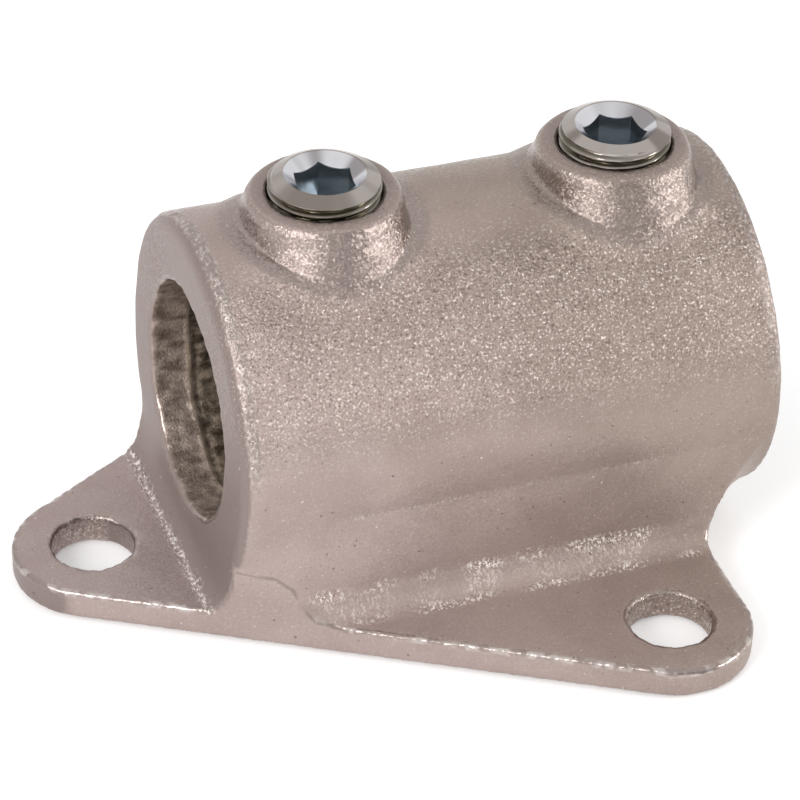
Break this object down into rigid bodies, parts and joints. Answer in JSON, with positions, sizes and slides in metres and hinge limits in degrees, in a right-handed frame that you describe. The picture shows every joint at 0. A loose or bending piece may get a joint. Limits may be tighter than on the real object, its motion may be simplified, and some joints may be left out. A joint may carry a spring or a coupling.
{
  "type": "flush side fixing",
  "caption": "Cast tube fitting that screws to a wall: a thick sleeve on a triangular eared plate, with set screws in raised bosses that clamp a tube close to the wall.",
  "frame": {"origin": "centre of the circle through the three fixing holes, on the wall face of the plate", "axes": "+X along the tube towards the overhanging end of the sleeve, +Z away from the wall"},
  "size_m": [0.1083, 0.1092, 0.0622],
  "materials": {
    "galvanised_casting": "sand-cast iron, hot-dip galvanised, rough grain",
    "zinc_plated_screw": "bright zinc plated"
  },
  "bodies": {
    "root": {"cast_body": "galvanised_casting", "ear_end_set_screw": "zinc_plated_screw", "open_end_set_screw": "zinc_plated_screw"}
  },
  "joints": []
}
